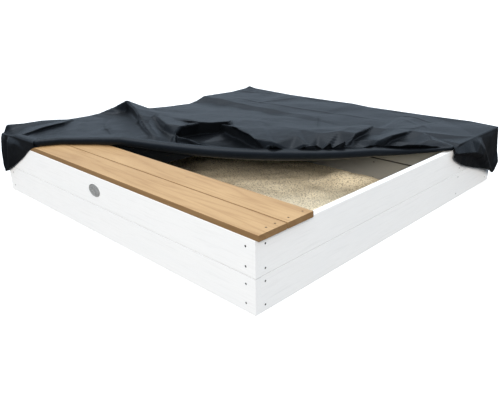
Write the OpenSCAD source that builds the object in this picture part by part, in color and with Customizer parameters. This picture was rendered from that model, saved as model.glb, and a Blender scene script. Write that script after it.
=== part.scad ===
// Square timber sandbox: plank walls on corner posts, a plank bench along the front, a hinged
// plank lid over a storage box along the back, and a sewn fabric cover, folded back off one corner.
// Millimetres. Origin at the centre of the base, +Z up, bench along -Y.

/* [Wall boards] */
// Length of every wall board
board_l = 1946; // [1200:1:2400]
// Height of one wall board
board_h = 145; // [120:1:170]
// Thickness of a wall board
board_t = 27; // [20:1:32]
// Radius of the eased long edges of boards and planks
edge_r = 2.5; // [1:0.5:4]

/* [Posts and battens] */
// Width of the square corner posts, the studs and the end battens
post_w = 45; // [38:1:60]
// How far posts and studs stop short of the walls' top
post_drop = 4; // [0:1:20]
// Depth of the battens that hold the storage panel's ends
end_batten_d = 70; // [50:1:90]
// Distance of a storage panel stud from the middle of the box
stud_x = 493; // [300:1:560]

/* [Bench and lid] */
// Width of a bench or lid plank
plank_w = 143.5; // [120:0.5:150]
// Thickness of a bench or lid plank
plank_t = 24; // [20:1:28]
// Gap between two planks
plank_gap = 5; // [3:1:8]
// How far the planks stand over the side walls
overhang = 15; // [0:1:30]
// Width of the fixed rail that carries the lid's hinges
rail_w = 45; // [40:1:60]
// Size of the cleats under the planks: width, height
cleat = [45, 22]; // [15:1:50]
// Distance of an outer cleat from the middle of the box
cleat_x = 720; // [600:1:800]
// Gap that the closed lid leaves over the walls
lid_gap = 0.4; // [0.2:0.1:1]

/* [Hinges] */
// Length of a hinge along its pin
hinge_l = 60; // [45:1:80]
// Width of a hinge leaf, from the pin's axis
leaf_w = 34; // [28:1:38]
// Thickness of a hinge leaf
leaf_t = 1.8; // [1.5:0.1:2]
// Radius of the hinge knuckles
knuckle_r = 3.2; // [3:0.1:3.6]
// Radius of the hinge pin
pin_r = 1.75; // [1.5:0.05:2]
// Running clearance between the pin and the moving knuckle
pin_play = 0.05; // [0.02:0.01:0.1]
// Distance of an outer hinge from the middle of the box
hinge_x = 560; // [400:1:650]

/* [Screws] */
// Shank radius of the wall and plank screws
screw_r = 2.25; // [2:0.25:3]
// Head radius of the wall and plank screws
head_r = 4.4; // [4:0.1:5]
// Length of the wall screws
wall_screw_l = 60; // [50:1:66]
// Length of the plank screws
plank_screw_l = 50; // [45:1:60]
// Length of the cleat screws, driven up from below
cleat_screw_l = 38; // [30:1:42]
// How deep the heads sit below the surface
sink = 0.8; // [0:0.1:1.5]

/* [Badge] */
// Half the height of the oval metal badge
badge_r = 30; // [25:1:40]
// How many times wider than high the badge is
badge_wide = 1.53; // [1:0.01:1.8]
// Thickness of the badge at its rim
badge_t = 2; // [1.5:0.1:3]
// Sideways place of the badge, from the middle of the front
badge_x = -37; // [-200:1:200]

/* [Sand] */
// Level of the sand where it meets the storage panel
sand_level = 18; // [10:1:60]
// Height of the highest mound above that level
mound_h = 34; // [0:1:60]
// Thickness of the ground cloth under the sand
ground_t = 1; // [0.5:0.1:2]

/* [Cover] */
// Thickness of the fabric in this model
fabric_t = 2; // [1.5:0.5:4]
// Clearance between the fabric and the hinge knuckles or plank ends
fabric_gap = 1.5; // [1:0.5:6]
// Depth of the cover's side panels
skirt_d = 250; // [150:1:280]
// Radius of the roll along the folded-back edge
roll_r = 23; // [15:1:30]
// How far the folded edge sags over the open sand
roll_sag = 52; // [0:1:70]

/* [Hidden] */

// Outer size of the box: the front and back boards lap the ends of the side boards
box_x = board_l;
box_y = board_l + 2 * board_t;
wall_top = 2 * board_h;
post_h = wall_top - post_drop;
bench_top = wall_top + plank_t;
lid_bottom = wall_top + lid_gap;
lid_top = lid_bottom + plank_t;
plank_l = box_x + 2 * overhang;

// The storage panel stands where the lid's front plank begins
rail_y = box_y / 2 - rail_w;
hinge_y = rail_y - plank_gap / 2;
lid_y = rail_y - 3 * (plank_w + plank_gap);
panel_y = lid_y;
panel_back = panel_y + board_t;

// Screw columns, from the box's outer corners, and half the spacing of a board's two screws
column_end_wall = 47;
column_side_wall = 50;
pitch_end_wall = 38.5;
pitch_side_wall = 47;
board_middles = [board_h / 2, board_h * 3 / 2];
head_h = 2.6;
hinge_screw_r = 1.6;
hinge_head_r = 3;
hinge_screw_l = 16;
knuckle_gap = 0.4;

pine = "white";
oiled = "peru";
zinc = "silver";
dark_zinc = "dimgray";
fabric = "darkslategray";

// ---- shared shapes ----

// Corner points of a w by h rectangle with rounded corners, from [0, 0]
function eased(w, h, r, n = 3) =
    let (centres = [[w - r, h - r], [r, h - r], [r, r], [w - r, r]])
    [for (c = [0:3], i = [0:n])
        centres[c] + r * [cos(90 * (c + i / n)), sin(90 * (c + i / n))]];

// A board or plank along X, centred on it, from y = 0 and z = 0
module timber_x(l, w, h) {
    rotate([90, 0, 90]) linear_extrude(l, center = true) polygon(eased(w, h, edge_r));
}

// The same along Y, centred on it, from x = 0 and z = 0
module timber_y(l, w, h) {
    rotate([90, 0, 0]) linear_extrude(l, center = true) polygon(eased(w, h, edge_r));
}

// A post along Z from z = 0, centred on the origin
module timber_z(h, x, y) {
    linear_extrude(h) translate([-x / 2, -y / 2]) polygon(eased(x, y, edge_r));
}

// A countersunk screw that goes down -Z, with its head sunk below z = 0
module screw(l, r = screw_r, head = head_r) {
    difference() {
        rotate_extrude($fn = 24) polygon([[0, -sink], [head, -sink], [head, -sink - 0.5],
            [r, -sink - head_h], [r, -l + 3 * r], [0, -l]]);
        translate([0, 0, -sink]) cylinder(h = 2 * 1.4, r = head * 0.42, center = true, $fn = 6);
    }
}

// The hole that the screw leaves in what it fastens
module screw_hole(l, r = screw_r, head = head_r) {
    rotate_extrude($fn = 24) polygon([[0, 1], [head, 1], [head, -sink - 0.5],
        [r, -sink - head_h], [r, -l + 3 * r], [0, -l]]);
}

// Small screws for the hinge leaves
module hinge_screw() {
    screw(hinge_screw_l, hinge_screw_r, hinge_head_r);
}

module hinge_screw_hole() {
    screw_hole(hinge_screw_l, hinge_screw_r, hinge_head_r);
}

// ---- where the screws sit ----

// On the front wall; the back wall is its mirror image
module at_end_wall() {
    for (x = [-1, 1] * (box_x / 2 - column_end_wall), m = board_middles, d = [-1, 1] * pitch_end_wall)
        translate([x, -box_y / 2, m + d]) rotate([90, 0, 0]) children();
}

// On the right wall; the left wall is its mirror image
module at_side_wall() {
    columns = [column_side_wall - box_y / 2, panel_back + end_batten_d / 2, box_y / 2 - column_side_wall];
    for (y = columns, m = board_middles, d = [-1, 1] * pitch_side_wall)
        translate([box_x / 2, y, m + d]) rotate([0, 90, 0]) children();
}

// On the storage panel's front face, into its end battens and studs
module at_panel() {
    batten_x = box_x / 2 - board_t - post_w / 2;
    for (x = [-batten_x, -stud_x, stud_x, batten_x], m = board_middles, d = [-1, 1] * pitch_side_wall)
        translate([x, panel_y, m + d]) rotate([90, 0, 0]) children();
}

// On the bench planks, down into the side walls
module at_bench() {
    for (side = [-1, 1], y = [67, 113, 184, 263])
        translate([side * (box_x / 2 - board_t / 2), y - box_y / 2, bench_top]) children();
}

// Under the bench cleats, up into the planks
module at_bench_cleats() {
    for (x = [-1, 0, 1] * cleat_x, y = [60, 115, 180, 250])
        translate([x, y - box_y / 2, wall_top - cleat[1]]) mirror([0, 0, 1]) children();
}

// Under the lid cleats, two up into each plank
module at_lid_cleats() {
    for (x = [-1, 0, 1] * cleat_x, p = [0:2], d = [-1, 1] * plank_w / 4)
        translate([x, lid_y + p * (plank_w + plank_gap) + plank_w / 2 + d, lid_bottom - cleat[1]])
            mirror([0, 0, 1]) children();
}

// On the hinge rail, down into the back wall
module at_rail() {
    for (x = [-895, -420, -140, 140, 420, 895])
        translate([x, box_y / 2 - board_t / 2, bench_top]) children();
}

// On the hinge leaves: side 1 is the rail, side -1 the lid
module at_hinge_leaves(side) {
    top = side > 0 ? bench_top : lid_top;
    for (x = [-1, 0, 1] * hinge_x, hole = [[-21, 14], [0, 25], [21, 14]])
        translate([x + hole[0], hinge_y + side * hole[1], top + leaf_t]) children();
}

// ---- walls ----

module front_board(course) {
    color(pine) difference() {
        translate([0, -box_y / 2, course * board_h]) timber_x(board_l, board_t, board_h);
        at_end_wall() screw_hole(wall_screw_l);
    }
}

module side_board(course) {
    color(pine) difference() {
        translate([box_x / 2 - board_t, 0, course * board_h]) timber_y(board_l, board_t, board_h);
        at_side_wall() screw_hole(wall_screw_l);
        at_bench() screw_hole(plank_screw_l);
    }
}

module back_board(course) {
    color(pine) difference() {
        mirror([0, 1, 0]) front_board(course);
        at_rail() screw_hole(plank_screw_l);
    }
}

// The front right post; the others are its mirror images
module post() {
    inset = board_t + post_w / 2;
    color(pine) difference() {
        translate([box_x / 2 - inset, -box_y / 2 + inset, 0]) timber_z(post_h, post_w, post_w);
        at_end_wall() screw_hole(wall_screw_l);
        at_side_wall() screw_hole(wall_screw_l);
    }
}

// The screws of the back and left walls mirror those of the front and right walls
module back_wall_screws() {
    color(dark_zinc) mirror([0, 1, 0]) at_end_wall() screw(wall_screw_l);
}

module left_wall_screws() {
    color(dark_zinc) mirror([1, 0, 0]) at_side_wall() screw(wall_screw_l);
}

// ---- storage box ----

module panel_board(course) {
    color(pine) difference() {
        translate([0, panel_y, course * board_h]) timber_x(box_x - 2 * board_t, board_t, board_h);
        at_panel() screw_hole(wall_screw_l);
    }
}

module panel_batten() {
    color(pine) difference() {
        translate([box_x / 2 - board_t - post_w / 2, panel_back + end_batten_d / 2, 0])
            timber_z(post_h, post_w, end_batten_d);
        at_panel() screw_hole(wall_screw_l);
        at_side_wall() screw_hole(wall_screw_l);
    }
}

module panel_stud() {
    color(pine) difference() {
        translate([stud_x, panel_back + post_w / 2, 0]) timber_z(post_h, post_w, post_w);
        at_panel() screw_hole(wall_screw_l);
    }
}

module hinge_rail() {
    color(oiled) difference() {
        translate([0, rail_y, wall_top]) timber_x(plank_l, rail_w, plank_t);
        at_rail() screw_hole(plank_screw_l);
        at_hinge_leaves(1) hinge_screw_hole();
    }
}

// ---- bench ----

module bench_plank(row) {
    color(oiled) difference() {
        translate([0, row * (plank_w + plank_gap) - box_y / 2, wall_top])
            timber_x(plank_l, plank_w, plank_t);
        at_bench() screw_hole(plank_screw_l);
        at_bench_cleats() screw_hole(cleat_screw_l);
    }
}

module bench_cleat(x) {
    l = 2 * plank_w + plank_gap - board_t - 12;
    color(pine) difference() {
        translate([x - cleat[0] / 2, board_t + 4 + l / 2 - box_y / 2, wall_top - cleat[1]])
            timber_y(l, cleat[0], cleat[1]);
        at_bench_cleats() screw_hole(cleat_screw_l);
    }
}

// ---- lid ----

module lid_plank(row) {
    color(oiled) difference() {
        translate([0, lid_y + row * (plank_w + plank_gap), lid_bottom]) timber_x(plank_l, plank_w, plank_t);
        at_lid_cleats() screw_hole(cleat_screw_l);
        at_hinge_leaves(-1) hinge_screw_hole();
    }
}

module lid_cleat(x) {
    l = 3 * plank_w + 2 * plank_gap - board_t - 20;
    color(pine) difference() {
        translate([x - cleat[0] / 2, panel_back + 10 + l / 2, lid_bottom - cleat[1]])
            timber_y(l, cleat[0], cleat[1]);
        at_lid_cleats() screw_hole(cleat_screw_l);
    }
}

// ---- hinges ----

// Axis of the hinge pins: the knuckles dip a little between plank and rail
knuckle_dip = 0.3;
hinge_z = lid_top + knuckle_r - knuckle_dip;
knuckle_l = (hinge_l - 2 * knuckle_gap) / 3;

module knuckle(x, l, bore) {
    translate([x, hinge_y, hinge_z]) rotate([0, 90, 0]) difference() {
        cylinder(h = l, r = knuckle_r, center = true, $fn = 40);
        cylinder(h = l + 2, r = bore, center = true, $fn = 40);
    }
}

// A leaf's plate and the tabs that reach its own knuckles, on the side y > 0 of the pin
module leaf_plate(side, top, tabs, tab_l) {
    inner = knuckle_r + 0.6;
    difference() {
        union() {
            translate([-hinge_l / 2, side > 0 ? inner : -leaf_w, top])
                cube([hinge_l, leaf_w - inner, leaf_t]);
            for (x = tabs)
                translate([x - tab_l / 2, side > 0 ? 0 : -inner - 1, top]) cube([tab_l, inner + 1, leaf_t]);
        }
        translate([-hinge_l, 0, hinge_z]) rotate([0, 90, 0])
            cylinder(h = 2 * hinge_l, r = pin_r + 0.6, $fn = 40);
    }
}

// Two outer knuckles, tight on the pin
module fixed_leaf(x) {
    outer = knuckle_l + knuckle_gap;
    color(zinc) difference() {
        union() {
            translate([x, hinge_y, 0]) leaf_plate(1, bench_top, [-outer, outer], knuckle_l);
            for (side = [-1, 1]) knuckle(x + side * outer, knuckle_l, pin_r);
        }
        at_hinge_leaves(1) hinge_screw_hole();
    }
}

// One middle knuckle, running on the pin
module moving_leaf(x) {
    color(zinc) difference() {
        union() {
            translate([x, hinge_y, 0]) leaf_plate(-1, lid_top, [0], knuckle_l);
            knuckle(x, knuckle_l, pin_r + pin_play);
        }
        at_hinge_leaves(-1) hinge_screw_hole();
    }
}

module hinge_pin(x) {
    color(zinc) translate([x, hinge_y, hinge_z]) rotate([0, 90, 0]) {
        cylinder(h = hinge_l, r = pin_r, center = true, $fn = 40);
        for (end = [0, 1]) mirror([0, 0, end]) translate([0, 0, hinge_l / 2])
            cylinder(h = 1, r1 = pin_r + 0.9, r2 = pin_r, $fn = 40);
    }
}

// ---- badge ----

// A plain embossed disc: a raised rim, a ring and a ring of round bosses
module badge() {
    floor_t = badge_t * 0.55;
    color(zinc) translate([badge_x, -box_y / 2, board_h * 1.5 + 2]) rotate([90, 0, 0])
        scale([badge_wide, 1, 1]) {
        rotate_extrude($fn = 72) polygon([[0, 0], [badge_r, 0], [badge_r, badge_t - 0.5],
            [badge_r - 0.5, badge_t], [badge_r - 3, badge_t], [badge_r - 3.5, floor_t],
            [badge_r * 0.42, floor_t], [badge_r * 0.4, badge_t], [badge_r * 0.32, badge_t],
            [badge_r * 0.3, floor_t], [0, floor_t]]);
        for (a = [0:30:359]) rotate(a) translate([badge_r * 0.66, 0, floor_t - 0.1])
            cylinder(h = badge_t - floor_t, r1 = badge_r * 0.11, r2 = badge_r * 0.08, $fn = 20);
    }
}

// ---- ground cloth and sand ----

pit_x = box_x / 2 - board_t;
pit_y = [board_t - box_y / 2, panel_y];
post_inner = board_t + post_w;

module ground_cloth() {
    color("gray") difference() {
        translate([-pit_x, pit_y[0], 0]) cube([2 * pit_x, pit_y[1] - pit_y[0], ground_t]);
        for (side = [-1, 1]) translate([side * (box_x / 2 - post_inner / 2), post_inner / 2 - box_y / 2, 0])
            cube([post_inner, post_inner, 9], center = true);
    }
}

// A closed slab over an nx by ny grid: at(i, j) gives the top point, and under(p) the point below it
module grid_slab(top, bottom, nx, ny) {
    n = (nx + 1) * (ny + 1);
    id = function (i, j) i * (ny + 1) + j;
    upper = [for (i = [0:nx - 1], j = [0:ny - 1]) let (a = id(i, j), b = id(i + 1, j), c = id(i + 1, j + 1),
        d = id(i, j + 1)) each [[a, d, c], [a, c, b]]];
    lower = [for (f = upper) [f[2] + n, f[1] + n, f[0] + n]];
    rim = concat([for (i = [0:nx]) id(i, 0)], [for (j = [1:ny]) id(nx, j)],
        [for (i = [nx - 1:-1:0]) id(i, ny)], [for (j = [ny - 1:-1:1]) id(0, j)]);
    m = len(rim);
    wall = [for (k = [0:m - 1]) let (a = rim[k], b = rim[(k + 1) % m])
        each [[a, b, b + n], [a, b + n, a + n]]];
    polyhedron(concat(top, bottom), concat(upper, lower, wall));
}

// Long soft mounds, level along the pit's edges
function mounds(u, v) =
    let (edge = min(1, 6 * min(u, 1 - u)) * min(1, 5 * min(v, 1 - v)))
    edge * (0.55 + 0.25 * sin(560 * u + 190 * v) + 0.2 * cos(820 * v - 300 * u));

module sand_fill() {
    nx = 30;
    ny = 22;
    y0 = post_inner - box_y / 2;
    points = function (z) [for (i = [0:nx], j = [0:ny])
        [pit_x * (2 * i / nx - 1), y0 + (pit_y[1] - y0) * j / ny, z(i / nx, j / ny)]];
    color("tan") {
        grid_slab(points(function (u, v) sand_level + mound_h * mounds(u, v)),
            points(function (u, v) ground_t), nx, ny);
        translate([post_inner - box_x / 2, pit_y[0], ground_t])
            cube([box_x - 2 * post_inner, post_w, sand_level - ground_t]);
    }
}

// ---- cover ----

cover_x = plank_l / 2 + fabric_gap;
cover_y = box_y / 2 + fabric_gap;
cover_z = hinge_z + knuckle_r + fabric_gap;
skirt_bottom = cover_z - skirt_d;
// Plan of the folded edge, as x and y, from the front left corner to the right wall
fold = [[-cover_x - fabric_t, -cover_y - fabric_t], [-610, -cover_y - fabric_t], [-270, -712],
    [cover_x + fabric_t, 412]];
pit_start = -270;

// How far the fabric hangs below the planks' level over the open sand
function sag(x, y) =
    let (along = (x - pit_start) / (cover_x - pit_start), back = (lid_y - 20 - y) / 700)
    x <= pit_start || back <= 0 ? 0 : roll_sag * sin(180 * min(1, along)) * pow(min(1, back), 1.5);

// A rounded crest of height h at [px, py], long one way and narrow across it
function crest(x, y, px, py, turn, long, wide, h) =
    let (a = ((x - px) * cos(turn) + (y - py) * sin(turn)) / long,
        b = ((y - py) * cos(turn) - (x - px) * sin(turn)) / wide)
    h * exp(-a * a - b * b);

// Bunched folds behind the folded edge, flat along the cover's other edges
function bunch(x, y) =
    let (rim = max(0, min(1, (cover_x - abs(x)) / 90, (cover_y - y) / 90, (y + cover_y) / 60)))
    rim * (crest(x, y, -780, -760, 20, 260, 90, 34) + crest(x, y, -690, -330, -15, 300, 80, 40)
        + crest(x, y, -880, -240, 0, 130, 90, 68) + crest(x, y, -150, -330, -38, 330, 60, 22)
        + crest(x, y, 560, 250, -40, 300, 60, 14));

module cover_sheet() {
    nx = 36;
    ny = 24;
    wide = cover_x + fabric_t;
    points = function (drop) [for (i = [0:nx], j = [0:ny])
        let (x = wide * (2 * i / nx - 1), y0 = lookup(x, fold), y = y0 + (cover_y + fabric_t - y0) * j / ny)
        [x, y, cover_z + fabric_t - drop - sag(x, y) + bunch(x, y)]];
    grid_slab(points(0), points(fabric_t), nx, ny);
}

// The folded-back edge: a round roll from over the bench to over the right wall
module cover_roll() {
    steps = 24;
    sides = 10;
    start = [-600, -cover_y + roll_r];
    bend = [-270, -705];
    finish = [cover_x - 20, 400];
    lift = cover_z + roll_r * 0.7;
    path = [for (i = [0:steps]) let (p = i < 6 ? start + (bend - start) * i / 6
        : bend + (finish - bend) * (i - 6) / (steps - 6)) [p[0], p[1], lift - sag(p[0], p[1])]];
    ring = [for (i = [0:steps]) let (r = roll_r * (i == 0 || i == steps ? 0.55 : 1),
        turn = i < 6 ? 42 : 41) each [for (k = [0:sides - 1]) let (a = 360 * k / sides)
            path[i] + r * [-sin(turn) * cos(a), cos(turn) * cos(a), sin(a)]]];
    skin = [for (i = [0:steps - 1], k = [0:sides - 1])
        let (a = i * sides + k, b = i * sides + (k + 1) % sides)
        each [[a, a + sides, b + sides], [a, b + sides, b]]];
    ends = [[for (k = [0:sides - 1]) k], [for (k = [sides - 1:-1:0]) steps * sides + k]];
    polyhedron(ring, concat(skin, ends));
}

module cover_top() {
    color(fabric) {
        cover_sheet();
        cover_roll();
    }
}

// Side panels, as outlines of their hanging faces
module cover_skirt_front() {
    color(fabric) translate([0, -cover_y, 0]) rotate([90, 0, 0]) linear_extrude(fabric_t)
        polygon([[-cover_x, cover_z], [-cover_x, 108], [-880, 160], [-770, 223], [-680, 274],
            [-610, cover_z]]);
}

module cover_skirt_left() {
    color(fabric) translate([-cover_x - fabric_t, 0, 0]) rotate([90, 0, 90]) linear_extrude(fabric_t)
        polygon([[-cover_y - fabric_t, cover_z], [-cover_y - fabric_t, 108], [-860, skirt_bottom],
            [cover_y + fabric_t, skirt_bottom], [cover_y + fabric_t, cover_z]]);
}

module cover_skirt_back() {
    color(fabric) translate([0, cover_y + fabric_t, 0]) rotate([90, 0, 0]) linear_extrude(fabric_t)
        polygon([[-cover_x, cover_z], [-cover_x, skirt_bottom], [cover_x, skirt_bottom],
            [cover_x, cover_z]]);
}

module cover_skirt_right() {
    color(fabric) translate([cover_x, 0, 0]) rotate([90, 0, 90]) linear_extrude(fabric_t)
        polygon([[405, cover_z], [425, 287], [511, 225], [651, 162], [795, 120], [917, 88],
            [cover_y + fabric_t, 60], [cover_y + fabric_t, cover_z]]);
}

// ---- the parts ----

front_board(0);  // front_board_lower
front_board(1);  // front_board_upper
back_board(0);  // back_board_lower
back_board(1);  // back_board_upper
mirror([1, 0, 0]) side_board(0);  // left_board_lower
mirror([1, 0, 0]) side_board(1);  // left_board_upper
side_board(0);  // right_board_lower
side_board(1);  // right_board_upper
mirror([1, 0, 0]) post();  // post_front_left
post();  // post_front_right
rotate(180) post();  // post_back_left
mirror([0, 1, 0]) post();  // post_back_right
panel_board(0);  // panel_board_lower
panel_board(1);  // panel_board_upper
mirror([1, 0, 0]) panel_batten();  // panel_batten_left
panel_batten();  // panel_batten_right
mirror([1, 0, 0]) panel_stud();  // panel_stud_left
panel_stud();  // panel_stud_right
bench_plank(0);  // bench_plank_front
bench_plank(1);  // bench_plank_rear
bench_cleat(-cleat_x);  // bench_cleat_left
bench_cleat(0);  // bench_cleat_middle
bench_cleat(cleat_x);  // bench_cleat_right
hinge_rail();
color(dark_zinc) at_end_wall() screw(wall_screw_l);  // front_wall_screws
back_wall_screws();
left_wall_screws();
color(dark_zinc) at_side_wall() screw(wall_screw_l);  // right_wall_screws
color(dark_zinc) at_panel() screw(wall_screw_l);  // panel_screws
color(dark_zinc) at_bench() screw(plank_screw_l);  // bench_screws
color(dark_zinc) at_bench_cleats() screw(cleat_screw_l);  // bench_cleat_screws
color(dark_zinc) at_rail() screw(plank_screw_l);  // rail_screws
badge();
ground_cloth();
sand_fill();
lid_plank(0);  // lid_plank_front
lid_plank(1);  // lid_plank_middle
lid_plank(2);  // lid_plank_rear
lid_cleat(-cleat_x);  // lid_cleat_left
lid_cleat(0);  // lid_cleat_middle
lid_cleat(cleat_x);  // lid_cleat_right
color(dark_zinc) at_lid_cleats() screw(cleat_screw_l);  // lid_cleat_screws
fixed_leaf(-hinge_x);  // hinge_left_fixed_leaf
fixed_leaf(0);  // hinge_middle_fixed_leaf
fixed_leaf(hinge_x);  // hinge_right_fixed_leaf
moving_leaf(-hinge_x);  // hinge_left_moving_leaf
moving_leaf(0);  // hinge_middle_moving_leaf
moving_leaf(hinge_x);  // hinge_right_moving_leaf
hinge_pin(-hinge_x);  // hinge_left_pin
hinge_pin(0);  // hinge_middle_pin
hinge_pin(hinge_x);  // hinge_right_pin
color(dark_zinc) at_hinge_leaves(1) hinge_screw();  // rail_hinge_screws
color(dark_zinc) at_hinge_leaves(-1) hinge_screw();  // lid_hinge_screws
cover_top();
cover_skirt_front();
cover_skirt_left();
cover_skirt_back();
cover_skirt_right();
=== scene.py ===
"""Looks of a square timber sandbox whose fabric cover is folded back off one corner.

The timber, screws and hinges are the frame's own nodes with wood and metal materials. The cover, the sand
and the ground cloth are built here, and stand for their plain CAD solids.
"""

import math

import bmesh
import bpy
import numpy as np
from mathutils import Matrix, Vector
from mathutils.geometry import delaunay_2d_cdt


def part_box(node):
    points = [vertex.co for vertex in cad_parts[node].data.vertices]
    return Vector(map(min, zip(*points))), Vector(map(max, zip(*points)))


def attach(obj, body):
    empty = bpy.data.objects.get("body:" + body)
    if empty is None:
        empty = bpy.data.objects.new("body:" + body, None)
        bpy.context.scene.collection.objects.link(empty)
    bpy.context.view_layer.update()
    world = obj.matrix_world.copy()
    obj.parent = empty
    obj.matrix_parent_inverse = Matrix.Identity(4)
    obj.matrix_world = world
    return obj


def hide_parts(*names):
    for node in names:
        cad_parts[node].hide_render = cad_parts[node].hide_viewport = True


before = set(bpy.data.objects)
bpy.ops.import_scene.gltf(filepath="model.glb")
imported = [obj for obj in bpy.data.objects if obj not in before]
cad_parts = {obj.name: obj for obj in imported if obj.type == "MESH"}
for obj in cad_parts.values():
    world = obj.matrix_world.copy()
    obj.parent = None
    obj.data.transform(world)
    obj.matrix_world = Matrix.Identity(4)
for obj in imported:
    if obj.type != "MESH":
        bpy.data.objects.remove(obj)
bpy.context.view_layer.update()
MM = 0.001

# ---------------------------------------------------------------- camera and studio

CAMERA_PLACE = (2.0963, -2.1756, 1.0624)
CAMERA_DOWN = math.radians(21.085)
CAMERA_HEADING = math.radians(44.255)
CAMERA_ROLL = math.radians(-0.65)
CAMERA_LENS = 39.18


def new_object(name, data):
    """Puts the data in the scene as an object."""
    made = bpy.data.objects.new(name, data)
    bpy.context.collection.objects.link(made)
    return made


def make_camera():
    """The camera, at the place and angle that the fitted view gives."""
    data = bpy.data.cameras.new("camera")
    data.lens = CAMERA_LENS
    data.sensor_width = 36
    camera = new_object("camera", data)
    turn = Matrix.Rotation(CAMERA_HEADING, 4, "Z") @ Matrix.Rotation(math.pi / 2 - CAMERA_DOWN, 4, "X")
    camera.matrix_world = Matrix.Translation(CAMERA_PLACE) @ turn @ Matrix.Rotation(CAMERA_ROLL, 4, "Z")
    bpy.context.scene.camera = camera


def make_sky():
    """A cool dome over dark ground, for the fabric to mirror: a bright band low down, darker above it, and
    brightest overhead."""
    world = bpy.data.worlds.new("studio")
    world.use_nodes = True
    tree = world.node_tree
    direction = tree.nodes.new("ShaderNodeTexCoord")
    split = tree.nodes.new("ShaderNodeSeparateXYZ")
    tree.links.new(direction.outputs["Generated"], split.inputs[0])
    height = tree.nodes.new("ShaderNodeMapRange")
    height.inputs["From Min"].default_value = -1
    tree.links.new(split.outputs["Z"], height.inputs["Value"])
    ramp = tree.nodes.new("ShaderNodeValToRGB")
    stops = [
        (0.0, (0.05, 0.05, 0.05)),
        (0.49, (0.07, 0.07, 0.07)),
        (0.515, (0.34, 0.41, 0.49)),
        (0.57, (0.62, 0.75, 0.90)),
        (0.67, (0.27, 0.34, 0.42)),
        (0.82, (0.55, 0.64, 0.74)),
        (1.0, (1.5, 1.68, 1.88)),
    ]
    while len(ramp.color_ramp.elements) < len(stops):
        ramp.color_ramp.elements.new(1.0)
    for element, (place, colour) in zip(ramp.color_ramp.elements, stops):
        element.position = place
        element.color = (*colour, 1)
    tree.links.new(height.outputs["Result"], ramp.inputs["Fac"])
    tree.links.new(ramp.outputs["Color"], tree.nodes["Background"].inputs["Color"])
    bpy.context.scene.world = world


def add_sun(name, energy, softness, colour, travel, gloss):
    """A distant light. Softness is the angle in degrees that it fills, travel is the way its rays go, and
    gloss is whether it's mirrored in what it lights."""
    data = bpy.data.lights.new(name, "SUN")
    data.energy = energy
    data.angle = math.radians(softness)
    data.color = colour
    light = new_object(name, data)
    light.rotation_euler = Vector(travel).to_track_quat("-Z", "Y").to_euler()
    light.visible_glossy = gloss


def make_studio():
    """The sky, two suns and a pale floor. The floor is left out of what the object mirrors and is lit by."""
    bpy.context.scene.view_settings.view_transform = "Standard"
    make_sky()
    add_sun("key", 3.5, 22, (1.0, 0.955, 0.90), (-0.60, 0.74, -0.50), False)
    add_sun("top", 0.9, 50, (0.93, 0.97, 1.0), (0.24, -0.24, -0.94), True)
    bpy.ops.mesh.primitive_plane_add(size=600)
    floor = bpy.context.object
    floor.name = "floor"
    floor.visible_glossy = False
    floor.visible_diffuse = False
    paint = bpy.data.materials.new("floor_paint")
    paint.use_nodes = True
    shader = paint.node_tree.nodes["Principled BSDF"]
    shader.inputs["Base Color"].default_value = (0.98, 0.97, 0.96, 1)
    shader.inputs["Roughness"].default_value = 1.0
    shader.inputs["Specular IOR Level"].default_value = 0.0
    floor.data.materials.append(paint)


# ---------------------------------------------------------------- materials


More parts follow.
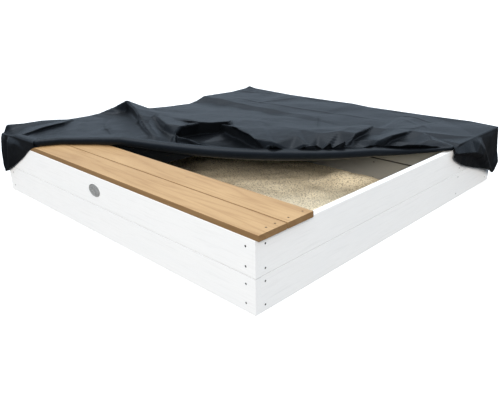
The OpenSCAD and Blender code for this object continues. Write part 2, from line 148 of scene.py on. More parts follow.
class Nodes:
    """Short calls for building a material's node tree."""

    def __init__(self, name):
        self.material = bpy.data.materials.new(name)
        self.material.use_nodes = True
        self.tree = self.material.node_tree
        self.shader = self.tree.nodes["Principled BSDF"]
        self.place = self.add("ShaderNodeTexCoord").outputs["Object"]

    def add(self, kind, **values):
        node = self.tree.nodes.new(kind)
        for key, value in values.items():
            setattr(node, key, value)
        return node

    def link(self, source, target):
        self.tree.links.new(source, target)

    def set(self, **values):
        for key, value in values.items():
            self.shader.inputs[key.replace("_", " ")].default_value = value

    def mapped(self, scale=(1, 1, 1), shift=(0, 0, 0)):
        node = self.add("ShaderNodeMapping")
        node.inputs["Scale"].default_value = scale
        node.inputs["Location"].default_value = shift
        self.link(self.place, node.inputs["Vector"])
        return node.outputs["Vector"]

    def noise(self, vector, scale, detail=4, rough=0.55, warp=0):
        node = self.add("ShaderNodeTexNoise")
        node.inputs["Scale"].default_value = scale
        node.inputs["Detail"].default_value = detail
        node.inputs["Roughness"].default_value = rough
        node.inputs["Distortion"].default_value = warp
        self.link(vector, node.inputs["Vector"])
        return node.outputs["Fac"]

    def ramp(self, value, stops):
        node = self.add("ShaderNodeValToRGB")
        ramp = node.color_ramp
        while len(ramp.elements) < len(stops):
            ramp.elements.new(0.5)
        for element, (place, colour) in zip(ramp.elements, stops):
            element.position = place
            element.color = (*colour, 1) if len(colour) == 3 else (colour[0],) * 3 + (1,)
        self.link(value, node.inputs["Fac"])
        return node.outputs["Color"]

    def maths(self, operation, a, b=0.5):
        node = self.add("ShaderNodeMath", operation=operation)
        for socket, value in zip(node.inputs, (a, b)):
            if hasattr(value, "is_output"):
                self.link(value, socket)
            else:
                socket.default_value = value
        return node.outputs[0]

    def mix(self, factor, a, b, blend="MIX"):
        node = self.add("ShaderNodeMix", data_type="RGBA", blend_type=blend)
        for socket, value in ((node.inputs[0], factor), (node.inputs[6], a), (node.inputs[7], b)):
            if hasattr(value, "is_output"):
                self.link(value, socket)
            elif isinstance(value, tuple):
                socket.default_value = (*value, 1)
            else:
                socket.default_value = value
        return node.outputs[2]

    def bump(self, height, strength, distance, below=None):
        node = self.add("ShaderNodeBump")
        node.inputs["Strength"].default_value = strength
        node.inputs["Distance"].default_value = distance
        self.link(height, node.inputs["Height"])
        if below is not None:
            self.link(below, node.inputs["Normal"])
        return node.outputs["Normal"]

    def side_faces(self):
        """1 on the edges and ends of a plank, 0 on its flat top and underside."""
        split = self.add("ShaderNodeSeparateXYZ")
        self.link(self.add("ShaderNodeTexCoord").outputs["Normal"], split.inputs[0])
        return self.ramp(self.maths("ABSOLUTE", split.outputs["Z"]), [(0.80, (0.62,)), (0.97, (0,))])

    def seam(self, heights, reach):
        """1 in a narrow band about each of the heights above the ground, in metres."""
        split = self.add("ShaderNodeSeparateXYZ")
        self.link(self.place, split.inputs[0])
        total = 0.0
        for height in heights:
            away = self.maths("ABSOLUTE", self.maths("SUBTRACT", split.outputs["Z"], height))
            total = self.maths("ADD", self.maths("LESS_THAN", away, reach), total)
        return total

    def finish(self, colour=None, rough=None, normal=None):
        for source, socket in ((colour, "Base Color"), (rough, "Roughness"), (normal, "Normal")):
            if source is not None:
                self.link(source, self.shader.inputs[socket])
        return self.material


def along(axis, length_scale, cross_scale):
    """Mapping scales that stretch a pattern along one axis, 0 for X, 1 for Y and 2 for Z."""
    scale = [cross_scale] * 3
    scale[axis] = length_scale
    return tuple(scale)


def white_paint(axis, strength=1.0):
    """White stain on sawn pine: the grain shows as faint ribs. Below full strength the white is darkened as
    painted shade and warmed as painted bounce light from the sand.
    """
    n = Nodes(f"white_wood_{'xyz'[axis]}_{round(100 * strength)}")
    grain = n.noise(n.mapped(along(axis, 1.2, 26)), 4, 6, 0.6, 0.4)
    fibre = n.noise(n.mapped(along(axis, 6, 240)), 3, 3)
    cloud = n.noise(n.mapped(along(axis, 1.5, 5)), 2, 3)
    tone = n.ramp(grain, [
        (0.3, (0.84, 0.835, 0.825)),
        (0.5, (0.90, 0.895, 0.885)),
        (0.72, (0.86, 0.855, 0.84)),
    ])
    tone = n.mix(n.ramp(cloud, [(0.45, (0,)), (0.8, (0.5,))]), tone, (0.85, 0.855, 0.855))
    joint = n.seam([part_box("front_board_upper")[0][2]], 0.0024)
    tone = n.mix(n.maths("MULTIPLY", joint, 0.42), tone, (0.42, 0.42, 0.41))
    # Below full strength: painted shade, the white darkened to stand for the shade under the cover and warmed
    # to stand for light thrown up by the sand, with a dark joint between the panel boards
    if strength < 1:
        joint = n.seam([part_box("panel_board_upper")[0][2]], 0.004)
        tone = n.mix(n.maths("MULTIPLY", joint, 0.85), tone, (0.05, 0.05, 0.05))
        tone = n.mix(1.0, tone, (strength, strength * 0.98, strength * 0.90), "MULTIPLY")
    ribs = n.maths("ADD", grain, n.maths("MULTIPLY", fibre, 0.35))
    n.set(Roughness=0.55, Specular_IOR_Level=0.4)
    return n.finish(tone, normal=n.bump(ribs, 0.35, 0.0012))


def oiled_wood(name, axis, light, dark, shift=0.0):
    """Oiled softwood: long flowing rings, fine fibre, a few knots and darker end grain."""
    n = Nodes(name)
    start = (shift, shift * 0.7, shift * 1.3)
    bend = n.noise(n.mapped(along(axis, 0.35, 5.0), start), 2.2, 3, 0.5, 0.2)
    rings_at = n.maths("MULTIPLY", bend, 22)
    rings = n.maths("ABSOLUTE", n.maths("SINE", rings_at))
    fibre = n.noise(n.mapped(along(axis, 5, 190), start), 3, 4, 0.7)
    cloud = n.noise(n.mapped(along(axis, 0.8, 4), start), 1.7, 3)
    knots = n.add("ShaderNodeTexVoronoi", feature="F1")
    knots.inputs["Scale"].default_value = 3.1
    n.link(n.mapped(along(axis, 0.9, 2.2), (start[0] + 0.3, start[1], start[2])), knots.inputs["Vector"])
    knot = n.ramp(knots.outputs["Distance"], [(0.0, (1,)), (0.035, (0.9,)), (0.06, (0.0,))])
    middle = tuple(0.5 * (a + b) for a, b in zip(light, dark))
    base = n.mix(n.ramp(cloud, [(0.3, (0,)), (0.7, (1,))]), light, middle)
    late_wood = n.ramp(rings, [(0.0, (1,)), (0.5, (0.3,)), (1.0, (0,))])
    base = n.mix(n.maths("MULTIPLY", late_wood, 0.46), base, dark)
    base = n.mix(n.maths("MULTIPLY", n.ramp(fibre, [(0.35, (0,)), (0.75, (1,))]), 0.46), base, dark)
    base = n.mix(n.maths("MULTIPLY", knot, 0.75), base, tuple(0.45 * c for c in dark))
    height = n.maths("ADD", n.maths("MULTIPLY", fibre, 0.6), n.maths("MULTIPLY", rings, 0.4))
    base = n.mix(n.side_faces(), base, tuple(0.42 * c for c in dark))
    n.set(Roughness=0.52, Specular_IOR_Level=0.35)
    return n.finish(base, normal=n.bump(height, 0.3, 0.001))


def woven_cover():
    """Coated woven polyester: a fine plain weave, faint rub marks, and a soft sheen at grazing angles."""
    n = Nodes("cover_fabric")
    weave_u = n.add("ShaderNodeTexWave", bands_direction="X")
    weave_v = n.add("ShaderNodeTexWave", bands_direction="Y")
    for wave in (weave_u, weave_v):
        wave.inputs["Scale"].default_value = 160
        wave.inputs["Distortion"].default_value = 0.6
        n.link(n.place, wave.inputs["Vector"])
    weave = n.maths("ADD", weave_u.outputs["Fac"], weave_v.outputs["Fac"])
    cloud = n.noise(n.mapped(), 3.0, 4, 0.6)
    rub = n.noise(n.mapped(), 40, 5, 0.7)
    tone = n.ramp(cloud, [(0.3, (0.0030, 0.0036, 0.0044)), (0.7, (0.0052, 0.0061, 0.0074))])
    tone = n.mix(n.ramp(rub, [(0.5, (0,)), (0.85, (0.25,))]), tone, (0.010, 0.012, 0.015))
    n.set(Roughness=0.35, IOR=1.45, Specular_Tint=(0.150, 0.188, 0.242, 1))
    wrinkle = n.bump(n.noise(n.mapped(), 22, 4, 0.6), 0.35, 0.004)
    return n.finish(tone, normal=n.bump(weave, 0.25, 0.0003, wrinkle))


def metal(name, colour, rough, grain=120, bare=1.0):
    """Faintly worn metal. Bare is how metallic it is, 1 for bare metal."""
    n = Nodes(name)
    worn = n.noise(n.mapped(), grain, 4, 0.6)
    tone = n.mix(n.ramp(worn, [(0.35, (0,)), (0.75, (1,))]), colour, tuple(0.6 * c for c in colour))
    n.set(Metallic=bare)
    gloss = n.ramp(worn, [(0.3, (rough - 0.08,)), (0.8, (rough + 0.15,))])
    return n.finish(tone, gloss, n.bump(worn, 0.15, 0.0004))


def dry_sand():
    """Pale sand with darker and lighter grains."""
    n = Nodes("sand")
    grain = n.noise(n.mapped(), 420, 3, 0.7)
    specks = n.noise(n.mapped(shift=(3, 1, 2)), 120, 2, 0.6)
    cloud = n.noise(n.mapped(), 7, 4, 0.6)
    tone = n.ramp(cloud, [(0.3, (0.80, 0.68, 0.47)), (0.7, (0.93, 0.81, 0.59))])
    tone = n.mix(n.ramp(specks, [(0.52, (0,)), (0.62, (0.9,))]), tone, (0.34, 0.26, 0.16))
    tone = n.mix(n.ramp(grain, [(0.55, (0,)), (0.68, (0.8,))]), tone, (0.95, 0.88, 0.72))
    n.set(Roughness=0.95, Specular_IOR_Level=0.2)
    height = n.maths("ADD", grain, specks)
    return n.finish(tone, normal=n.bump(height, 1.0, 0.003))


def ground_weave():
    n = Nodes("ground_fabric")
    fuzz = n.noise(n.mapped(), 300, 4, 0.7)
    tone = n.ramp(fuzz, [(0.3, (0.03, 0.03, 0.03)), (0.7, (0.09, 0.09, 0.09))])
    n.set(Roughness=0.95)
    return n.finish(tone, normal=n.bump(fuzz, 0.6, 0.001))


def make_materials():
    """One material for each record slot, in each direction that its timber runs."""
    light, dark = (0.56, 0.365, 0.182), (0.31, 0.168, 0.070)
    made = {
        "white_x": white_paint(0),
        # the storage panel's boards in painted shade: their white darkened to about a third and warmed by
        # painted bounce light from the sand
        "panel": white_paint(0, 0.34),
        "white_y": white_paint(1),
        "white_z": white_paint(2),
        "cleat": oiled_wood("cleat_wood", 1, light, dark, 4.0),
        "screws": metal("dark_screws", (0.09, 0.09, 0.09), 0.45),
        "bench_screws": metal("bench_screws", (0.24, 0.19, 0.14), 0.5),
        "zinc": metal("zinc_steel", (0.55, 0.56, 0.58), 0.35),
        "badge": metal("badge_metal", (0.50, 0.50, 0.49), 0.45, 90, 0.4),
        "sand": dry_sand(),
        "ground": ground_weave(),
        "cover": woven_cover(),
    }
    for k in range(6):
        made[f"oiled_{k}"] = oiled_wood(f"oiled_wood_{k}", 0, light, dark, 1.7 * k)
    return made


def material_for(node):
    """Which material a CAD node takes, by its name."""
    planks = [
        "bench_plank_front",
        "bench_plank_rear",
        "lid_plank_front",
        "lid_plank_middle",
        "lid_plank_rear",
    ]
    if node in planks:
        return f"oiled_{planks.index(node)}"
    if node == "hinge_rail":
        return "oiled_5"
    if node == "bench_screws":
        return "bench_screws"
    if node.endswith("screws"):
        return "screws"
    if node.startswith("hinge_"):
        return "zinc"
    if "cleat" in node:
        return "cleat"
    if node == "badge":
        return "badge"
    if node.startswith("panel_board"):
        return "panel"
    if node.startswith(("post_", "panel_batten", "panel_stud")):
        return "white_z"
    if node.startswith(("left_", "right_")):
        return "white_y"
    return "white_x"


def dress_frame(materials):
    for name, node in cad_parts.items():
        if name.startswith("cover_") or name in ("sand_fill", "ground_cloth"):
            continue
        material = materials[material_for(name)]
        if not node.material_slots:
            node.data.materials.append(material)
        for slot in node.material_slots:
            slot.material = material


# ---------------------------------------------------------------- cover

# All in millimetres until the mesh is made. The cover's outer edges come from the timber it lies on
LOW, HIGH = (np.array(corner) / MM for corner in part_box("bench_plank_front"))
RIM_X = HIGH[0] + 2.5
RIM_FRONT = LOW[1] - 3
RIM_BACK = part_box("hinge_rail")[1][1] / MM + 3
BENCH_TOP = HIGH[2]
LID_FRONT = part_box("lid_plank_front")[0][1] / MM
COLUMNS, ROWS = 270, 230

# Where the sheet stops hanging over the bench's front edge, and is folded back on itself instead
TURN_X = -600
# Plan of the folded edge's foremost line, from there to the right wall
FOLD_PATH = [(-RIM_X, RIM_FRONT), (TURN_X, RIM_FRONT), (-540, -890), (-400, -770), (-270, -690), (RIM_X, 418)]

# Folds of the bunched fabric, from left to right. Each is a ridge, with five numbers a point: its place and
# height, how deep the wall in front of it drops, and how many times that depth the wall's foot lies ahead
# of the ridge (behind it, so that the ridge hangs over, if negative).
FOLDS = [
    # the long fold that comes over from the left edge
    [(-850, -990, 334, 4, 0), (-790, -960, 348, 12, -0.5), (-790, -890, 358, 17, -0.6),
        (-810, -820, 363, 20, -0.6),
        (-840, -700, 361, 18, -0.5), (-920, -595, 352, 6, 0)],
    # the peak, and its hem running down to the roll
    [(-905, -222, 416, 74, 0.12), (-720, -292, 398, 58, 0.15), (-590, -354, 385, 44, 0.2),
        (-440, -427, 370, 30, 0.3),
        (-280, -500, 354, 16, 0.4), (-200, -538, 340, 3, 1)],
    # a second hem behind it, turned at a corner
    [(-640, -170, 360, 4, 0), (-560, -262, 369, 10, 0), (-490, -372, 371, 14, -0.2), (-380, -436, 360, 12, 0),
        (-230, -500, 343, 4, 0)],
    # light flap over the hollow: its left side, then its edge over the hollow
    [(-530, -268, 368, 16, 0.6), (-360, -336, 362, 40, 0.4), (-215, -388, 354, 50, 0.3)],
    [(-200, -388, 354, 62, 0), (-262, -290, 358, 76, -0.4), (-262, -160, 358, 84, -0.6),
        (-190, -78, 355, 80, -0.6),
        (-165, -30, 352, 30, -0.4)],
    # a low fold inside the hollow
    [(-215, -376, 318, 12, 0), (-140, -356, 316, 30, -0.2), (-50, -360, 308, 34, -0.2),
        (30, -320, 296, 16, 0)],
    # strip that comes out of the hollow and dives behind the roll
    [(-150, -95, 354, 56, -0.4), (-80, -110, 353, 78, -0.6), (30, -135, 347, 78, -0.6),
        (170, -168, 335, 62, -0.5),
        (280, -160, 322, 40, -0.4), (390, -112, 310, 14, 0)],
    # left flap of the pair near the right wall
    [(500, 460, 346, 6, 0), (536, 345, 353, 34, -0.4), (548, 220, 351, 42, -0.4), (562, 110, 340, 38, -0.3),
        (560, 20, 322, 14, 0)],
    # right flap, a long narrow strip
    [(700, 560, 344, 4, 0), (722, 440, 350, 22, -0.4), (704, 330, 349, 36, -0.4), (686, 230, 343, 40, -0.4),
        (652, 100, 326, 16, 0)],
    # the last fold, whose lower strand runs beside the roll onto the wall
    [(705, 165, 318, 6, 0), (775, 240, 328, 30, -0.4), (850, 305, 332, 36, -0.4), (930, 362, 329, 26, -0.3),
        (985, 395, 322, 6, 0)],
]

# Other breaks of slope, as places and heights
BREAKS = [
    [(-985, -470, 338), (-965, -400, 346), (-945, -310, 372), (-925, -245, 402)],
    [(-890, -300, 340), (-740, -380, 341), (-600, -450, 341), (-420, -520, 340)],
    [(-960, -955, 346), (-940, -880, 350), (-925, -780, 351), (-930, -690, 350)],
    [(-850, -90, 348), (-700, -130, 347), (-640, -60, 338)],
    [(-520, -170, 351), (-420, -200, 347), (-330, -170, 345)],
    [(-190, 15, 345), (-60, -55, 340), (90, -118, 334)],
    [(-150, 100, 340), (-28, -12, 339), (165, -148, 334)],
    [(-85, 125, 339), (46, 34, 338), (140, -40, 335), (236, -109, 322)],
    [(-60, 150, 332), (76, 54, 329), (172, -27, 325), (265, -95, 312)],
    [(-640, 60, 334), (-400, 60, 338), (-240, 120, 336)],
    # a V of two creases by the middle of the roll
    [(160, 150, 332), (274, 58, 328), (376, 9, 314), (440, -35, 304)],
    [(218, 167, 327), (312, 88, 318), (390, 30, 308)],
    [(390, 262, 338), (352, 152, 333), (414, 3, 312)],
    [(440, 330, 349), (432, 228, 346), (480, 70, 334), (526, -5, 318)],
    [(610, 560, 334), (632, 380, 334), (626, 250, 326), (608, 120, 306)],
    [(540, 560, 338), (572, 470, 340), (590, 380, 322)],
    [(770, 520, 342), (830, 480, 342), (870, 420, 336)],
    [(760, 440, 322), (810, 390, 318), (840, 370, 322)],
    # floor of the hollows behind the roll
    [(-120, -470, 312), (0, -385, 294), (140, -280, 278), (250, -200, 272)],
    [(-130, -270, 276), (-20, -220, 272), (80, -220, 270)],
    [(640, 60, 288), (690, 140, 294)],
]

# The sheet where it lies on the lid and the walls, or hangs slack over the pit
RESTS = [
    [(-992, -1004, 335), (-992, -968, 371), (-992, -860, 361), (-992, -760, 359), (-992, -680, 350),
        (-992, -600, 338), (-992, -470, 330), (-992, -340, 326), (-992, -230, 330), (-992, -100, 316),
        (-992, 0, 310),
        (-992, 210, 299), (-992, 370, 292), (-992, 440, 304), (-992, 512, 328), (-992, 800, 322),
        (-992, 950, 330),
        (-992, 1004, 342)],
    [(-992, 512, 328), (-500, 512, 321), (0, 512, 319), (500, 512, 319), (860, 512, 320), (992, 506, 318)],
    [(-900, 440, 300), (-500, 440, 304), (0, 440, 310), (300, 440, 318)],
    [(-860, 200, 316), (-500, 220, 325), (-150, 260, 326)],
    [(-992, 1004, 342), (-930, 1004, 331), (-560, 1004, 321), (-180, 1004, 323), (0, 1004, 326),
        (130, 1004, 319), (560, 1004, 322),
        (820, 1004, 327), (992, 1004, 319)],
    [(-700, 950, 319), (-560, 950, 325), (-420, 950, 319), (-140, 950, 319), (0, 950, 325), (140, 950, 319),
        (430, 950, 319), (560, 950, 325), (700, 950, 319)],
    [(992, 418, 300), (992, 470, 306), (992, 506, 318), (992, 700, 318), (992, 1004, 320)],
]

# Fine creases: their points, height (negative for a groove) and width
FINE = [
    ([(-850, 640), (-350, 640), (0, 680), (380, 705)], 3.5, 12),
    ([(-960, 880), (-820, 900), (-600, 985)], 3, 10),
    ([(400, 890), (500, 880), (730, 820)], 3.5, 10),
    ([(40, 560), (160, 400), (280, 235)], 3.5, 9),
    ([(-800, -430), (-660, -548), (-580, -585), (-420, -655)], -6, 15),
    ([(-930, -500), (-760, -640), (-640, -700)], 3, 25),
    ([(-820, -600), (-700, -800), (-560, -840)], -3, 30),
    ([(480, 800), (760, 640)], 2.5, 12),
    ([(-560, 560), (-450, 930)], 2.5, 12),
    ([(-230, -340), (-100, -290)], 3, 14),
    ([(-60, -330), (20, -240), (70, -290)], -8, 12),
    ([(100, -230), (160, -260)], 5, 16),
]


class Net:
    """Values at points joined by creases, carried flat across the triangles between them."""

    def __init__(self):
        self.places, self.values, self.edges = [], [], []

    def add(self, places, values):
        first = len(self.places)
        self.places.extend(Vector((float(p[0]), float(p[1]))) for p in places)
        self.values.extend(values)
        self.edges.extend((first + k, first + k + 1) for k in range(len(places) - 1))

    def spread(self, x, y):
        corners, _, triangles, origin, _, _ = delaunay_2d_cdt(self.places, self.edges, [], 0, 1e-4)
        plan = np.array([tuple(c) for c in corners])
        values = np.array(self.values, dtype=float)
        known = np.array([len(source) > 0 for source in origin])
        rows = np.zeros((len(plan), values.shape[1]))
        for k, source in enumerate(origin):
            if source:
                rows[k] = values[source].mean(axis=0)
        for k in np.flatnonzero(~known):
            near = [m for m in np.argsort(np.linalg.norm(plan - plan[k], axis=1)) if known[m]][:2]
            rows[k] = rows[near].mean(axis=0)
        out = np.full((*x.shape, values.shape[1]), np.nan)
        for a, b, c in triangles:
            pa, pb, pc = plan[a], plan[b], plan[c]
            area = (pb[0] - pa[0]) * (pc[1] - pa[1]) - (pc[0] - pa[0]) * (pb[1] - pa[1])
            if abs(area) < 1e-6:
                continue
            u = ((x - pa[0]) * (pc[1] - pa[1]) - (pc[0] - pa[0]) * (y - pa[1])) / area
            v = ((pb[0] - pa[0]) * (y - pa[1]) - (x - pa[0]) * (pb[1] - pa[1])) / area
            inside = (u >= -1e-3) & (v >= -1e-3) & (u + v <= 1 + 1e-3) & np.isnan(out[..., 0])
            mixed = rows[a] + u[..., None] * (rows[b] - rows[a]) + v[..., None] * (rows[c] - rows[a])
            out[inside] = mixed[inside]
        return out


def distance_to(points, x, y):
    """Distance of every grid point from a line of points, and how far along the line it is, 0 to 1."""
    best = np.full(x.shape, 1e9)
    along_line = np.zeros(x.shape)
    count = len(points) - 1
    for k in range(count):
        ax, ay = points[k]
        bx, by = points[k + 1]
        length = (bx - ax) ** 2 + (by - ay) ** 2
        t = np.clip(((x - ax) * (bx - ax) + (y - ay) * (by - ay)) / length, 0, 1)
        d = np.hypot(x - ax - t * (bx - ax), y - ay - t * (by - ay))
        near = d < best
        best = np.where(near, d, best)
        along_line = np.where(near, (k + t) / count, along_line)
    return best, along_line


def soften(field, times):
    """Rounds the creases, keeping the grid's edges."""
    for _ in range(times):
        around = field[:-2, 1:-1] + field[2:, 1:-1] + field[1:-1, :-2] + field[1:-1, 2:]
        field[1:-1, 1:-1] = 0.4 * field[1:-1, 1:-1] + 0.15 * around
    return field


def waves(x, y, seed, count, longest, shortest):
    """Smooth uneven ripples, from a seeded handful of plane waves, about -1 to 1."""
    rng = np.random.default_rng(seed)
    total = np.zeros_like(x, dtype=float)
    for _ in range(count):
        length = rng.uniform(shortest, longest)
        turn = rng.uniform(0, math.tau)
        start = rng.uniform(0, math.tau)
        total += np.sin(math.tau * (x * math.cos(turn) + y * math.sin(turn)) / length + start)
    return total / math.sqrt(count)


def fold_point(x):
    """How far back the folded edge lies at column x."""
    xs, ys = zip(*FOLD_PATH)
    return np.interp(x, xs, ys)


# How many times wider than high the folded edge is
ROLL_FLAT = 1.6
# Its height to either side of its middle, along its length
ROLL_RADII = [(-RIM_X, 6), (-900, 9), (-820, 15), (-400, 19), (-200, 24), (350, 28), (700, 23), (850, 14),
    (RIM_X, 9)]
# How far it sags between the seat and the right wall, and where the sag starts
ROLL_SAG = 79
SAG_START = -270
# Where the sheet leaves its back, in degrees from its front, along its length
SEAM_ANGLES = [(-500, 120), (-150, 158), (850, 158), (960, 130)]
# Points around it, and points from it down to the hem or back under the sheet
ROLL_ROWS = 25
TUCK_ROWS = 16
# Where the hem hangs in front of the seat
FRONT_HEM = [(-RIM_X, 106), (-935, 134), (-870, 165), (-760, 225), (-685, 274), (-640, 301), (TURN_X, 317)]
# How far the fabric is tucked back under the roll, and for the part that hangs in the pit beside the
# seat, how far back it reaches, where it ends and how deep it hangs
TUCK = 110
PIT_REACH = -540
PIT_END = -230
PIT_HANG = 150


def read_off(table, x):
    """The value at x in a table of places and values."""
    return np.interp(x, *zip(*table))


def roll_frame(x):
    """Centre of the roll at column x, the direction that it faces, and its radius."""
    r = read_off(ROLL_RADII, x)
    slope = np.array([60, fold_point(x + 30) - fold_point(x - 30)])
    face = np.array([slope[1], -slope[0]]) / np.linalg.norm(slope)
    straight = np.clip((TURN_X + 20 - x) / 60, 0, 1)
    face = face * (1 - straight) + np.array([0, -1]) * straight
    face /= np.linalg.norm(face)
    span = np.clip((x - SAG_START) / (RIM_X - SAG_START), 0, 1)
    low = BENCH_TOP + 2 - ROLL_SAG * math.sin(math.pi * span) ** 0.9 - 14 * np.clip((x - 700) / 290, 0, 1)
    centre = np.array([x, fold_point(x), low + r]) - np.array([*face, 0]) * r * ROLL_FLAT
    return centre, face, r


def roll_point(x, degrees):
    """A point of the folded edge's section, which is a flattened oval. Its front is 0 and its top is 90."""
    centre, face, r = roll_frame(x)
    across, up = (math.copysign(abs(v) ** 0.8, v) for v in (cosine(degrees), sine(degrees)))
    return centre + r * np.array([*(face * ROLL_FLAT * across), up])


def cosine(degrees):
    return math.cos(math.radians(degrees))


def sine(degrees):
    return math.sin(math.radians(degrees))


def seam_angle(x):
    return read_off(SEAM_ANGLES, x)


def roll_seam(x):
    """Where the sheet leaves the back of the folded edge."""
    return roll_point(x, seam_angle(x))


def behind_seam(points):
    """The points of a crease that lie on the sheet, not on the folded edge."""
    kept = [p for p in points if abs(p[0]) > 990 or p[1] > roll_seam(p[0])[1] + 10]
    return kept if len(kept) > 1 else points


def crease_net():
    """Every crease and resting line, each point with its sideways shift and height."""
    net = Net()
    for fold in FOLDS:
        ridge = np.array([p[:2] for p in fold], dtype=float)
        run = np.gradient(ridge, axis=0)
        side = np.stack([run[:, 1], -run[:, 0]], axis=1) / np.linalg.norm(run, axis=1)[:, None]
        if (side @ (0.66, -0.75)).sum() < 0:
            side = -side
        drop = np.array([p[3] for p in fold], dtype=float)[:, None]
        height = np.array([p[2] for p in fold], dtype=float)[:, None]
        ahead = np.array([p[4] for p in fold], dtype=float)[:, None]
        shift = side * drop * (0.3 + np.maximum(-ahead, 0) * 0.8)
        foot = ridge + side * drop * ahead
        net.add(ridge - shift, np.hstack([shift, height]).tolist())
        net.add(foot + shift, np.hstack([-shift, height - drop]).tolist())
    for whole in BREAKS + RESTS:
        points = behind_seam(whole)
        net.add([p[:2] for p in points], [(0, 0, p[2]) for p in points])
    seam = np.array([roll_seam(x) for x in np.linspace(-RIM_X, RIM_X, 40)])
    net.add(seam[:, :2] + (0, -2), [(0, 0, z) for z in seam[:, 2]])
    return net


def sheet_grid():
    """The cover's top as a grid of points, from the roll's back to the far edge."""
    x_line = np.linspace(-RIM_X, RIM_X, COLUMNS)
    start = np.array([roll_seam(x)[1] for x in x_line])[:, None]
    x = np.repeat(x_line[:, None], ROWS, axis=1)
    y = start + (RIM_BACK - start) * np.linspace(0, 1, ROWS)[None, :]
    field = crease_net().spread(x, y)
    field[np.isnan(field[..., 2])] = (0, 0, 320)
    for k in range(3):
        field[..., k] = soften(field[..., k], 1)
    inner = np.clip(np.minimum(np.minimum(RIM_X - abs(x), RIM_BACK - y), y - start) / 40, 0, 1)
    slack = np.clip((LID_FRONT - y) / 200, 0.4, 1)
    rise = waves(x, y, 5, 14, 420, 110) * 2.2 + waves(x, y, 6, 20, 130, 60) * 0.4 * slack
    for points, height, width in FINE:
        d, s = distance_to(points, x, y)
        rise += height * np.exp(-(d / width) ** 2) * np.sin(np.pi * np.clip(s, 0.04, 0.96)) ** 0.4
    return np.stack([x + field[..., 0], y + field[..., 1], field[..., 2] + rise * inner], axis=-1)


def front_rows(x):
    """How a column goes on from the sheet: around the roll and under it, or down the bench's front."""
    under = -90 if x > TURN_X else 0
    rows = [roll_point(x, angle) for angle in np.linspace(seam_angle(x), under, ROLL_ROWS)]
    last = rows[-1]
    if x > TURN_X:
        tuck = TUCK * min(1, max(0.05, (x - TURN_X) / 200))
        reach = max(tuck, (PIT_REACH - last[1]) * (x < PIT_END))
        hang = PIT_HANG * np.clip(-x / 300, 0, 1)
        for k in range(1, TUCK_ROWS + 1):
            y = last[1] + reach * k / TUCK_ROWS
            rows.append(np.array([x, y, last[2] + 1.5 - hang * np.clip((y + 695) / 150, 0, 1) ** 1.3]))
    else:
        hem = read_off(FRONT_HEM, x)
        for k in range(1, TUCK_ROWS + 1):
            rows.append(np.array([x, last[1], last[2] + (hem - last[2]) * k / TUCK_ROWS]))
    return rows


# How far the side panels stand off the timber: place along the panel, height, and distance
FRONT_STANDS = [
    [(-992, 335, 0), (-900, 335, 2), (-800, 335, 2), (-600, 335, 0)],
    [(-992, 300, 8), (-992, 220, 18), (-992, 150, 20), (-992, 100, 14)],
    [(-960, 300, 10), (-958, 230, 14), (-962, 160, 8)],
    [(-925, 322, -2), (-920, 270, -2), (-932, 200, 2), (-950, 150, 6)],
    [(-893, 320, 16), (-885, 270, 26), (-905, 200, 26), (-935, 140, 22), (-975, 100, 14)],
    [(-800, 300, 12), (-800, 240, 10)],
    [(-600, 312, 0), (-700, 270, 3), (-860, 160, 6)],
]
RIGHT_STANDS = [
    [(405, 300, 0), (560, 312, 0), (700, 316, 0), (1004, 319, 0)],
    [(418, 285, 4), (470, 275, 16), (560, 262, 30), (640, 246, 38), (720, 215, 42), (780, 170, 38),
        (830, 120, 30)],
    [(412, 280, 0), (462, 262, 2), (552, 246, 4), (630, 228, 4), (700, 200, 6), (755, 160, 8),
        (805, 115, 10)],
    [(640, 312, 4), (700, 290, 26), (750, 240, 42), (800, 180, 44), (870, 110, 36), (960, 62, 24)],
    [(760, 300, 4), (800, 250, 14), (860, 180, 16), (930, 110, 14)],
    [(1004, 250, 6), (1004, 180, 14), (1004, 120, 26), (1004, 55, 20)],
    [(425, 270, 2), (511, 220, 4), (600, 175, 3), (700, 145, 6), (800, 115, 8)],
]


def stand_off(stands, along_line, height):
    """How far a side panel stands off the timber at each of its points."""
    net = Net()
    for points in stands:
        net.add([p[:2] for p in points], [(p[2],) for p in points])
    low, high = height.min() - 50, height.max() + 60
    left, right = along_line.min() - 60, along_line.max() + 60
    net.add([(left, low), (right, low), (right, high), (left, high), (left, low)], [(4,)] * 5)
    return soften(net.spread(along_line, height)[..., 0], 1)


def side_panel(edge, out, hem, stands=None, seed=0):
    """A side panel that hangs from the sheet's edge down to its hem, with soft waves."""
    rows = 30
    t = np.linspace(0, 1, rows)[None, :]
    axis = 1 if out[0] else 0
    place = np.repeat(edge[:, axis][:, None], rows, axis=1)
    top = edge[:, 2][:, None]
    z = top + (hem[:, None] - top) * t
    ends = np.minimum(1, np.minimum(place - place.min(), place.max() - place) / 140)
    corner = np.exp(-((place.max() - abs(place)) / 60) ** 2)
    push = 4 * t + t ** 1.3 * (10 + 7 * waves(place, z * 0.4, seed, 7, 520, 140)) * ends + 16 * corner * t ** 2
    if stands:
        push = stand_off(stands, place, z) * np.minimum(1, t * 12)
        push = push + 3 * waves(place, z, seed, 9, 170, 60) * t
    points = np.zeros((*place.shape, 3))
    points[..., 0] = edge[:, 0][:, None] + out[0] * push
    points[..., 1] = edge[:, 1][:, None] + out[1] * push
    points[..., 2] = z
    return points


def add_sheet(mesh, points):
    """Adds a grid of points, in millimetres, as faces."""
    rows = [[mesh.verts.new(Vector(p) * MM) for p in line] for line in points]
    for a, b in zip(rows, rows[1:]):
        for k in range(len(a) - 1):
            mesh.faces.new((a[k], b[k], b[k + 1], a[k + 1]))


def finish_sheet(mesh, name, thickness, material):
    """Turns the mesh being built into an object of sheet material."""
    data = bpy.data.meshes.new(name)
    mesh.to_mesh(data)
    mesh.free()
    cloth = new_object(name, data)
    thick = cloth.modifiers.new("thickness", "SOLIDIFY")
    thick.thickness = thickness
    thick.offset = -1
    data.materials.append(material)
    return cloth


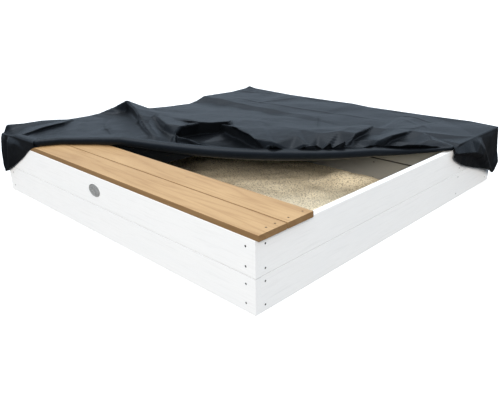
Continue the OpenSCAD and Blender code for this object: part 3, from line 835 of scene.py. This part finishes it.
def make_cover(material):
    """The cover: its top, the folded edge with what hangs from it, and three side panels."""
    top = sheet_grid()
    x_line = np.linspace(-RIM_X, RIM_X, COLUMNS)
    fronts = np.array([front_rows(x) for x in x_line])
    fronts[:, 0] = top[:, 0]
    hanging = x_line <= TURN_X
    place = np.repeat(x_line[hanging][:, None], fronts.shape[1], axis=1)
    fall = np.clip((BENCH_TOP + 12 - fronts[hanging][..., 2]) / 20, 0, 1)
    fronts[hanging, :, 1] -= stand_off(FRONT_STANDS, place, fronts[hanging][..., 2]) * fall
    left_edge, back_edge, right_edge = top[0], top[:, -1], top[-1]
    left_hem = np.interp(left_edge[:, 1], [RIM_FRONT, -930, -800, RIM_BACK], [106, 84, 76, 72])
    back_hem = np.interp(back_edge[:, 0], [-RIM_X, 850, RIM_X], [72, 72, 112])
    right_hem = np.interp(right_edge[:, 1], [395, 424, 468, 551, 606, 747, 868, 945, 975, RIM_BACK],
        [290, 275, 239, 198, 177, 135, 101, 62, 64, 112])
    mesh = bmesh.new()
    add_sheet(mesh, top)
    add_sheet(mesh, fronts)
    left = side_panel(left_edge, (-1, 0), left_hem, seed=11)
    back = side_panel(back_edge, (0, 1), back_hem, seed=12)
    right = side_panel(right_edge, (1, 0), right_hem, RIGHT_STANDS, 13)
    # Strips that close the corners, where the panels are sewn together
    front = fronts[0][np.argmax(fronts[0][:, 2]):]
    front = np.stack([np.interp(-left[0][:, 2], -front[:, 2], front[:, k]) for k in range(3)], axis=1)
    for sheet in (left, back, right, (front, left[0]), (left[-1], back[0]), (back[-1], right[-1])):
        add_sheet(mesh, sheet)
    bmesh.ops.remove_doubles(mesh, verts=mesh.verts, dist=0.0006)
    bmesh.ops.recalc_face_normals(mesh, faces=mesh.faces)
    for face in mesh.faces:
        face.smooth = True
    return finish_sheet(mesh, "cover_cloth", 0.0012, material)


# ---------------------------------------------------------------- sand and ground cloth


# Mounds in the sand: place, height, and width along X and Y, in metres
MOUNDS = [
    (0.41, 0.33, 0.050, 0.11, 0.08),
    (0.58, 0.40, 0.032, 0.14, 0.07),
    (0.10, -0.02, 0.018, 0.22, 0.12),
]


def make_sand(material):
    """The sand's surface, lower towards the timber, with mounds and ripples."""
    low, high = (np.array(c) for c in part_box("sand_fill"))
    nx, ny = 320, 220
    x, y = np.meshgrid(np.linspace(low[0], high[0], nx), np.linspace(low[1], high[1], ny), indexing="ij")
    to_timber = np.minimum(np.minimum(x - low[0], high[0] - x), np.minimum(y - low[1], high[1] - y))
    edge = np.minimum(1, to_timber / 0.10)
    z = 0.020 + 0.012 * edge + 0.007 * waves(x, y, 3, 10, 0.9, 0.4) * edge
    for across, back, rise, wide, deep in MOUNDS:
        z += rise * np.exp(-((x - across) / wide) ** 2 - ((y - back) / deep) ** 2)
    z += 0.0030 * waves(x, y, 4, 30, 0.26, 0.09) + 0.0007 * waves(x, y, 8, 60, 0.06, 0.025)
    z = np.maximum(z, low[2] + 0.004)
    data = bpy.data.meshes.new("sand")
    points = np.stack([x, y, z], axis=-1).reshape(-1, 3)
    faces = [(i * ny + j, (i + 1) * ny + j, (i + 1) * ny + j + 1, i * ny + j + 1)
        for i in range(nx - 1) for j in range(ny - 1)]
    data.from_pydata(points.tolist(), [], faces)
    for face in data.polygons:
        face.use_smooth = True
    data.materials.append(material)
    return new_object("sand", data)


def make_ground_cloth(material):
    """Weed cloth laid flat on the ground under the sand, with faint ripples."""
    low, high = (np.array(c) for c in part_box("ground_cloth"))
    nx, ny = 90, 70
    x, y = np.meshgrid(np.linspace(low[0], high[0], nx), np.linspace(low[1], high[1], ny), indexing="ij")
    z = low[2] + 0.0009 + 0.0002 * waves(x, y, 21, 12, 0.5, 0.08)
    mesh = bmesh.new()
    add_sheet(mesh, np.stack([x, y, z], axis=-1) / MM)
    return finish_sheet(mesh, "ground_cloth_sheet", 0.0004, material)


make_camera()
make_studio()
materials = make_materials()
dress_frame(materials)

cover = make_cover(materials["cover"])
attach(cover, "cover")
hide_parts("cover_top", "cover_skirt_front", "cover_skirt_left", "cover_skirt_back",
    "cover_skirt_right")

sand = make_sand(materials["sand"])
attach(sand, "box")
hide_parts("sand_fill")

ground_cloth = make_ground_cloth(materials["ground"])
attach(ground_cloth, "box")
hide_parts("ground_cloth")
